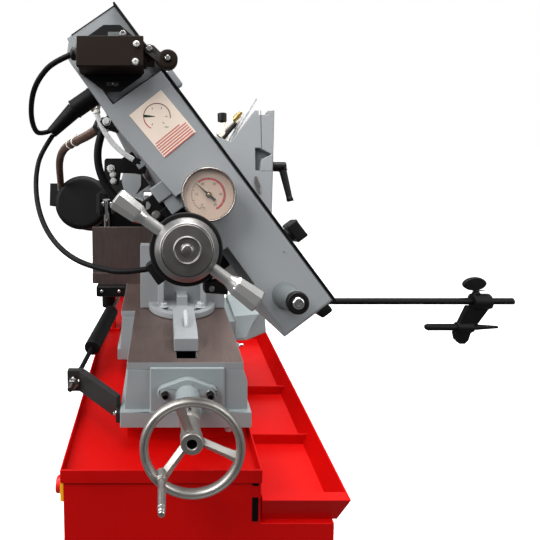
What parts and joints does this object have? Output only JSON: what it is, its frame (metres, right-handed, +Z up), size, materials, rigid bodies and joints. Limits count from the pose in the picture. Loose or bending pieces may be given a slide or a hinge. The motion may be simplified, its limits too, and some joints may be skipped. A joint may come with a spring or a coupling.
{
  "type": "metal cutting band saw",
  "caption": "Pivoting-bow metal cutting band saw on a cabinet, with leaning band wheels, hand vise, tension handle, sliding guide arm, length stop and chip tray.",
  "frame": {"origin": "on the floor, at the centre of the foot bolt pattern", "axes": "+X to the operator's right, +Y away from the operator along the bow, +Z up"},
  "size_m": [1.207, 1.2528, 1.3886],
  "materials": {
    "red_paint": "satin, fine orange-peel paint",
    "grey_paint": "hammered grey paint on castings",
    "light_grey_paint": "satin paint on sheet covers",
    "black_paint": "satin black",
    "ground_steel": "ground and oiled, brownish",
    "steel": "turned steel",
    "band_steel": "blued strip steel",
    "chrome": "bright plated",
    "aluminium": "polished",
    "black_plastic": "moulded",
    "rubber": "matte seal rubber",
    "red_plastic": "moulded",
    "yellow_plastic": "moulded",
    "brass": "plain",
    "hose_brown": "translucent corrugated tube",
    "hose_clear": "clear flexible tube",
    "cast": "machined casting"
  },
  "bodies": {
    "base": {"cabinet_shell": "red_paint", "cabinet_feet": "red_paint", "coolant_pan": "red_paint", "chip_tray": "red_paint", "estop_base": "yellow_plastic", "vise_base": "grey_paint", "vise_table": "ground_steel", "screw_flange": "grey_paint", "fixed_jaw": "grey_paint", "jaw_plate": "ground_steel", "stop_rod": "black_paint", "pivot_stand": "grey_paint", "spring_anchor": "black_paint"},
    "door": {"cabinet_door": "red_paint"},
    "door_latch": {"door_latch": "black_plastic"},
    "estop_button": {"estop_button": "red_plastic"},
    "handwheel": {"vise_screw": "steel", "handwheel": "aluminium"},
    "handwheel_grip": {"handwheel_grip": "aluminium"},
    "jaw_slide": {"jaw_slide": "grey_paint"},
    "movable_jaw": {"movable_jaw": "grey_paint"},
    "stop_arm": {"stop_arm": "grey_paint"},
    "stop_pin": {"stop_pin": "black_paint"},
    "stop_knob": {"stop_knob": "black_plastic"},
    "bow": {"front_box": "grey_paint", "cover_gaskets": "rubber", "beam": "grey_paint", "rear_box": "grey_paint", "rear_cover": "light_grey_paint", "tension_rails": "grey_paint", "gauge_case": "chrome", "limit_switch": "black_paint", "bow_handle": "grey_paint", "band": "band_steel", "gearbox": "grey_paint", "motor": "black_paint", "cable_boot": "rubber", "cable_switch": "rubber", "cable_sensor": "rubber", "hose_black": "rubber", "hose_clear": "hose_clear", "hose_corrugated": "hose_brown"},
    "front_cover": {"front_cover": "light_grey_paint"},
    "cover_latch": {"cover_latch": "black_plastic"},
    "tension_handle": {"tension_screw": "steel", "tension_arms": "aluminium"},
    "tension_carriage": {"tension_carriage": "grey_paint"},
    "idler_wheel": {"idler_wheel": "cast"},
    "drive_wheel": {"drive_wheel": "cast"},
    "gauge_needle": {"gauge_needle": "black_paint"},
    "switch_lever": {"switch_lever": "chrome"},
    "switch_roller": {"switch_roller": "black_plastic"},
    "guide_arm": {"guide_arm": "grey_paint", "coolant_tap": "brass"},
    "guide_lever": {"guide_lever": "black_paint"},
    "tap_knob": {"tap_knob": "black_plastic"},
    "feed_cylinder": {"feed_cylinder": "black_paint"},
    "cylinder_rod": {"cylinder_rod": "chrome"},
    "spring_sleeve": {"spring_sleeve": "steel"},
    "spring_hook": {"spring_hook": "steel"}
  },
  "joints": [
    {"name": "door_hinge", "type": "hinge", "parent": "base", "child": "door", "pos_m": [-0.154, -0.4505, 0.34], "axis": [0, 0, -1], "range_deg": [0, 110]},
    {"name": "door_latch_turn", "type": "hinge", "parent": "door", "child": "door_latch", "pos_m": [0.12, -0.45, 0.34], "axis": [0, 1, 0], "range_deg": [0, 90]},
    {"name": "estop_push", "type": "slide", "parent": "base", "child": "estop_button", "axis": [1, 0, 0], "range_m": [0, 0.005], "stiffness_N_per_m": 800},
    {"name": "vise_handwheel", "type": "hinge", "parent": "base", "child": "handwheel", "pos_m": [-0.0165, -0.513, 0.801], "axis": [0, -1, 0], "range_deg": [-13980, 2175]},
    {"name": "grip_spin", "type": "hinge", "parent": "handwheel", "child": "handwheel_grip", "pos_m": [-0.06002, -0.55, 0.7597], "axis": [0, 1, 0], "continuous": true},
    {"name": "jaw_travel", "type": "slide", "parent": "base", "child": "jaw_slide", "axis": [0, -1, 0], "range_m": [-0.155, 0.024]},
    {"name": "jaw_swivel", "type": "hinge", "parent": "jaw_slide", "child": "movable_jaw", "pos_m": [-0.0165, -0.099, 0.87], "axis": [0, 0, 1], "range_deg": [0, 45]},
    {"name": "stop_arm_slide", "type": "slide", "parent": "base", "child": "stop_arm", "axis": [1, 0, 0], "range_m": [-0.44, 0.055]},
    {"name": "stop_pin_slide", "type": "slide", "parent": "stop_arm", "child": "stop_pin", "axis": [1, 0, 0], "range_m": [-0.05, 0.08]},
    {"name": "stop_knob_turn", "type": "hinge", "parent": "stop_arm", "child": "stop_knob", "pos_m": [0.728, 0.04, 0.85], "axis": [0, 0, 1], "range_deg": [-180, 180]},
    {"name": "bow_pivot", "type": "hinge", "parent": "base", "child": "bow", "pos_m": [-0.147, 0.432, 1], "axis": [-1, 0, 0], "range_deg": [-11, 14]},
    {"name": "front_cover_hinge", "type": "hinge", "parent": "bow", "child": "front_cover", "pos_m": [-0.10929, -0.46891, 1.365], "axis": [0, -0.9816, 0.1908], "range_deg": [0, 100]},
    {"name": "cover_latch_turn", "type": "hinge", "parent": "front_cover", "child": "cover_latch", "pos_m": [0.07997, -0.64379, 1.13612], "axis": [0.81, 0.1119, 0.5756], "range_deg": [0, 90]},
    {"name": "tension_turn", "type": "hinge", "parent": "bow", "child": "tension_handle", "pos_m": [-0.03615, -0.7236, 1.13958], "axis": [0, 0.9816, -0.1908], "range_deg": [-904, 2]},
    {"name": "tension_travel", "type": "slide", "parent": "bow", "child": "tension_carriage", "axis": [0, 0.9816, -0.1908], "range_m": [0, 0.01]},
    {"name": "drive_wheel_spin", "type": "hinge", "parent": "bow", "child": "drive_wheel", "pos_m": [0.01805, 0.27323, 0.98767], "axis": [0.81, 0.1119, 0.5756], "continuous": true},
    {"name": "idler_wheel_spin", "type": "hinge", "parent": "tension_carriage", "child": "idler_wheel", "pos_m": [0.01805, -0.51256, 1.14041], "axis": [0.81, 0.1119, 0.5756], "continuous": true},
    {"name": "gauge_needle_turn", "type": "hinge", "parent": "bow", "child": "gauge_needle", "pos_m": [-0.01328, -0.6969, 1.18785], "axis": [0, 0.9816, -0.1908], "range_deg": [-88, 1]},
    {"name": "switch_lever_swing", "type": "hinge", "parent": "bow", "child": "switch_lever", "pos_m": [-0.07198, -0.66895, 1.33163], "axis": [0, 0.9816, -0.1908], "range_deg": [-30, 30], "stiffness_Nm_per_rad": 1},
    {"name": "switch_roller_spin", "type": "hinge", "parent": "switch_lever", "child": "switch_roller", "pos_m": [-0.05348, -0.67936, 1.32001], "axis": [0, 0.9816, -0.1908], "continuous": true},
    {"name": "guide_arm_slide", "type": "slide", "parent": "bow", "child": "guide_arm", "axis": [0, 0.9816, -0.1908], "range_m": [-0.11, 0.2]},
    {"name": "guide_lever_turn", "type": "hinge", "parent": "guide_arm", "child": "guide_lever", "pos_m": [0.19, -0.14768, 1.17278], "axis": [1, 0, 0], "range_deg": [-45, 45]},
    {"name": "tap_turn", "type": "hinge", "parent": "guide_arm", "child": "tap_knob", "pos_m": [0.066, -0.12841, 1.27193], "axis": [0, 0.1908, 0.9816], "range_deg": [0, 90]},
    {"name": "cylinder_pivot", "type": "hinge", "parent": "base", "child": "feed_cylinder", "pos_m": [-0.206, 0.15, 0.752], "axis": [-1, 0, 0], "range_deg": [-4, 5]},
    {"name": "cylinder_stroke", "type": "slide", "parent": "feed_cylinder", "child": "cylinder_rod", "axis": [0, -0.126, 0.992], "range_m": [-0.0605, 0.077]},
    {"name": "spring_pivot", "type": "hinge", "parent": "base", "child": "spring_sleeve", "pos_m": [-0.228, -0.255, 0.768], "axis": [1, 0, 0], "range_deg": [-3, 4]},
    {"name": "spring_stretch", "type": "slide", "parent": "spring_sleeve", "child": "spring_hook", "axis": [0.1317, 0.988, 0.0803], "range_m": [-0.043, 0.034]}
  ],
  "couplings": [
    {"joint": "vise_handwheel", "follows": "jaw_travel", "rad_per_m": 1570.8},
    {"joint": "tension_turn", "follows": "tension_travel", "rad_per_m": -1570.8},
    {"joint": "gauge_needle_turn", "follows": "tension_travel", "rad_per_m": -151.84},
    {"joint": "idler_wheel_spin", "follows": "drive_wheel_spin", "ratio": 1},
    {"joint": "cylinder_pivot", "follows": "bow_pivot", "ratio": 0.3263},
    {"joint": "cylinder_stroke", "follows": "bow_pivot", "m_per_rad": 0.31014},
    {"joint": "spring_pivot", "follows": "bow_pivot", "ratio": 0.2418},
    {"joint": "spring_stretch", "follows": "bow_pivot", "m_per_rad": -0.17236}
  ]
}
